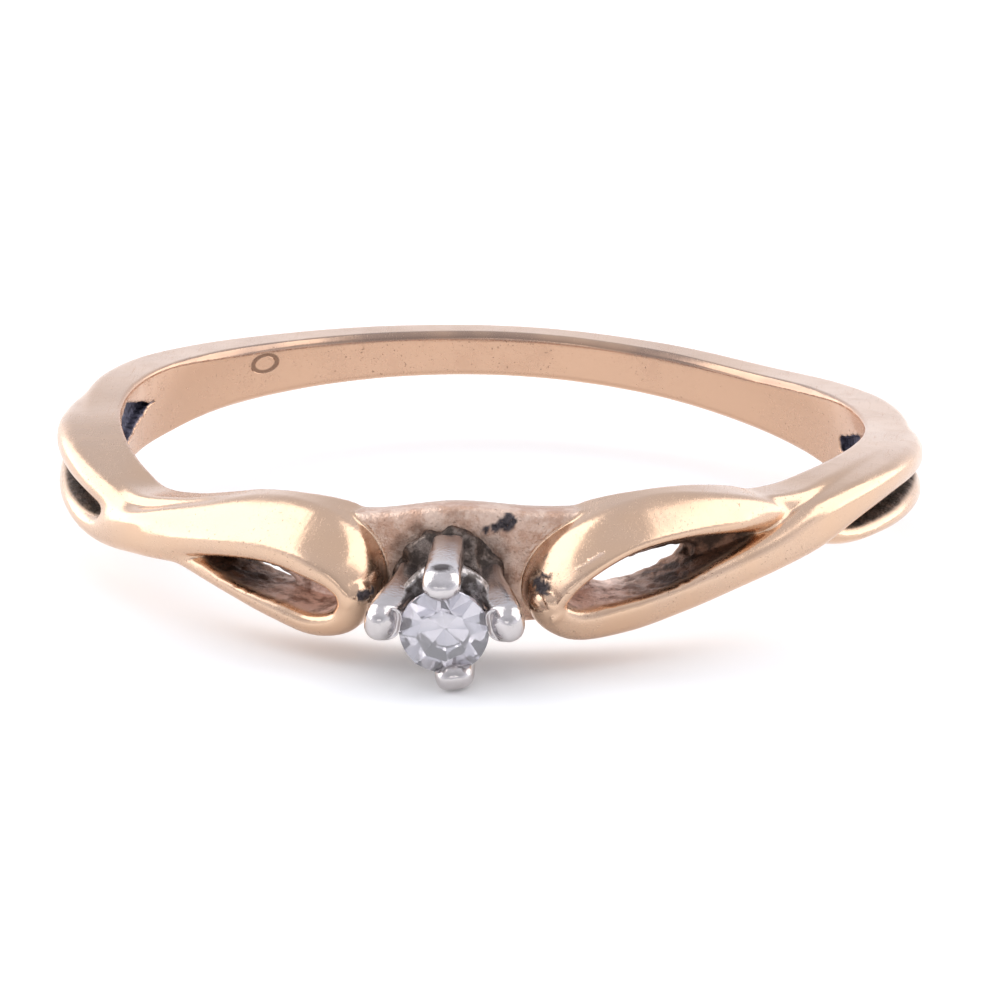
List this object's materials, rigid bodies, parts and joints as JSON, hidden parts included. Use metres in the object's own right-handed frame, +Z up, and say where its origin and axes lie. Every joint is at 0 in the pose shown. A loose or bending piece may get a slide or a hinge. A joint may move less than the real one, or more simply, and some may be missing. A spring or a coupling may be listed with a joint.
{
  "type": "engagement ring",
  "caption": "Slim gold engagement ring with twisted, pierced shoulders and a four-prong white gold head holding one small round diamond.",
  "frame": {"origin": "middle of the finger bore, on the bore axis and half way up the band", "axes": "+Z along the bore axis, the stone faces -Y, +X to the right of the stone with +Z up"},
  "size_m": [0.0196, 0.0219, 0.0034],
  "materials": {
    "gold": "polished",
    "white_gold": "polished",
    "solder": "satin",
    "diamond": "polished"
  },
  "bodies": {
    "root": {"shank": "gold", "head_peg": "white_gold", "head_cup": "white_gold", "gallery_ring": "white_gold", "head_solder": "solder", "diamond": "diamond", "prong_right": "white_gold", "prong_top": "white_gold", "prong_left": "white_gold", "prong_bottom": "white_gold"}
  },
  "joints": []
}
